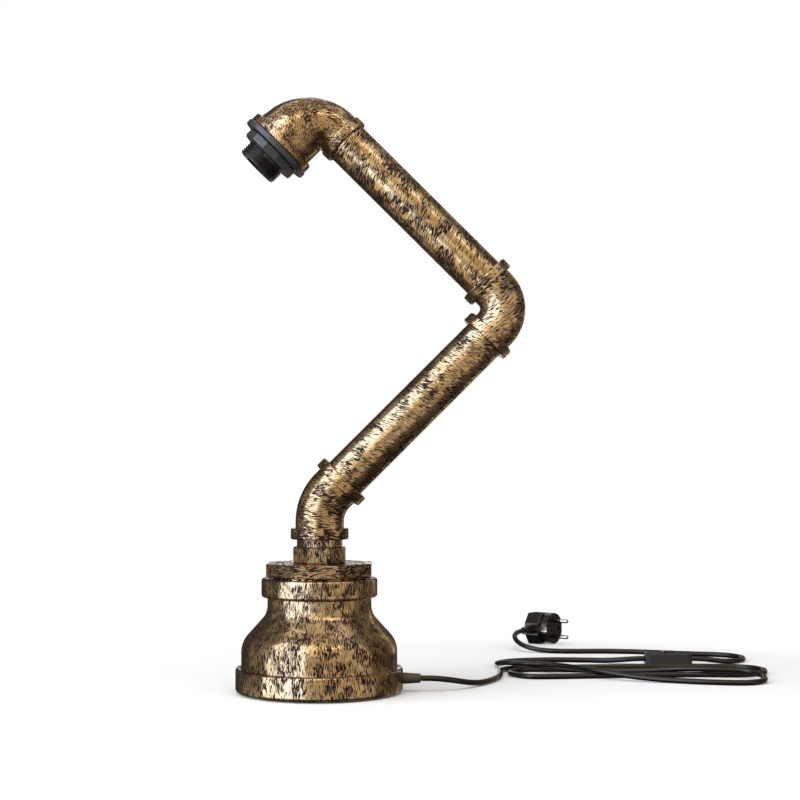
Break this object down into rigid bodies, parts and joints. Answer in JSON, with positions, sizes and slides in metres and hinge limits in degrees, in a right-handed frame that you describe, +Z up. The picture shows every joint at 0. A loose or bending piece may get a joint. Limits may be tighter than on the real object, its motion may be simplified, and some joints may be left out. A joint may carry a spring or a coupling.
{
  "type": "table lamp",
  "caption": "Zigzag pipe table lamp with a heavy bell base, threaded pipe arm, bare lamp holder with shade ring, and a mains cord with inline switch and plug.",
  "frame": {"origin": "centre of the base's underside, on the surface it stands on", "axes": "+Z up, +X towards the side where the cord leaves and the arm's middle elbow points, +Y to the back"},
  "size_m": [0.5388, 0.5091, 0.5715],
  "materials": {
    "aged_brass": "aged brass paint with dark brush marks",
    "plate_steel": "black",
    "fastener_steel": "zinc plated",
    "pad_rubber": "matt foam rubber",
    "bush_rubber": "satin",
    "clamp_plastic": "natural",
    "cord_black": "glossy",
    "lead_brown": "satin",
    "lead_blue": "satin",
    "lead_green": "satin",
    "contact_brass": "bright",
    "pin_metal": "nickel plated",
    "holder_plastic": "satin",
    "holder_ceramic": "glazed",
    "switch_plastic": "satin",
    "rocker_plastic": "glossy",
    "plug_plastic": "glossy"
  },
  "bodies": {
    "base": {"base_bell": "aged_brass", "base_plate": "plate_steel", "plate_screws": "fastener_steel", "base_pad": "pad_rubber", "bushing": "aged_brass", "nipple": "aged_brass", "cord_bush": "bush_rubber", "clamp_base": "clamp_plastic", "clamp_bar": "clamp_plastic", "clamp_screws": "fastener_steel", "mains_cord": "cord_black", "terminal_block": "clamp_plastic", "terminal_sleeves": "contact_brass", "terminal_screws": "fastener_steel", "mains_lead_live": "lead_brown", "mains_lead_neutral": "lead_blue", "mains_lead_earth": "lead_green", "earth_tag": "contact_brass", "earth_screw": "fastener_steel", "lamp_lead_live": "lead_brown", "lamp_lead_neutral": "lead_blue", "lamp_cable_base": "cord_black", "cord_entry": "cord_black", "cord_coil": "cord_black", "cord_switch_lead": "cord_black", "cord_plug_lead": "cord_black", "switch_base": "switch_plastic", "switch_cover": "switch_plastic", "switch_screws": "fastener_steel", "rocker_pin": "fastener_steel", "switch_terminals": "contact_brass", "switch_cores": "lead_brown", "plug_body": "plug_plastic", "plug_relief": "plug_plastic", "plug_pins": "pin_metal", "pin_sleeves": "plug_plastic", "earth_clips": "pin_metal"},
    "lower_arm": {"elbow_45": "aged_brass", "lower_pipe": "aged_brass", "lamp_cable_lower": "cord_black"},
    "upper_arm": {"elbow_90": "aged_brass", "upper_pipe": "aged_brass", "lamp_cable_upper": "cord_black"},
    "head": {"head_elbow": "aged_brass", "head_flange": "holder_plastic", "shade_ring": "holder_plastic", "holder_skirt": "holder_plastic", "holder_insert": "holder_ceramic", "screw_shell": "contact_brass", "centre_contact": "contact_brass", "side_contact": "contact_brass", "holder_terminals": "contact_brass", "holder_cap": "holder_plastic", "lamp_cable_head": "cord_black", "holder_lead_live": "lead_brown", "holder_lead_neutral": "lead_blue"},
    "rocker": {"switch_rocker": "rocker_plastic"}
  },
  "joints": [
    {"name": "base_swivel", "type": "hinge", "parent": "base", "child": "lower_arm", "pos_m": [0, 0, 0.1793], "axis": [0, 0, 1], "range_deg": [-170, 170]},
    {"name": "arm_roll", "type": "hinge", "parent": "lower_arm", "child": "upper_arm", "pos_m": [0.1871, 0, 0.3664], "axis": [0.7071, 0, 0.7071], "range_deg": [-60, 60]},
    {"name": "head_roll", "type": "hinge", "parent": "upper_arm", "child": "head", "pos_m": [-0.00601, 0, 0.55951], "axis": [-0.7071, 0, 0.7071], "range_deg": [-90, 90]},
    {"name": "switch_rock", "type": "hinge", "parent": "base", "child": "rocker", "pos_m": [0.368, 0.204, 0.0094], "axis": [0, -1, 0], "range_deg": [0, 16]}
  ]
}
